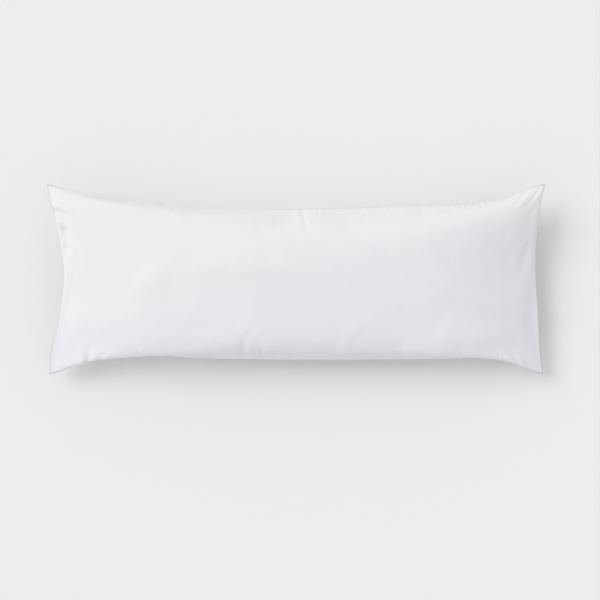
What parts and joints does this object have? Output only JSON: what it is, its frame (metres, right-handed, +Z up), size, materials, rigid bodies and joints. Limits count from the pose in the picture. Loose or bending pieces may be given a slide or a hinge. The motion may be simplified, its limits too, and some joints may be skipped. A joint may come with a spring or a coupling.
{
  "type": "body pillow",
  "caption": "Long plain filled body pillow with a crowned top, drawn-in sides and pointed corners, lying flat on its back.",
  "frame": {"origin": "on the surface the pillow lies on, under the middle of its outline", "axes": "+X along the pillow, the picture's left to right; +Y across it, the picture's upwards; +Z up from the surface through the crown"},
  "size_m": [1.3, 0.498, 0.2092],
  "materials": {
    "pillow_cotton": "matt white woven cotton"
  },
  "bodies": {
    "root": {"pillow": "pillow_cotton"}
  },
  "joints": []
}
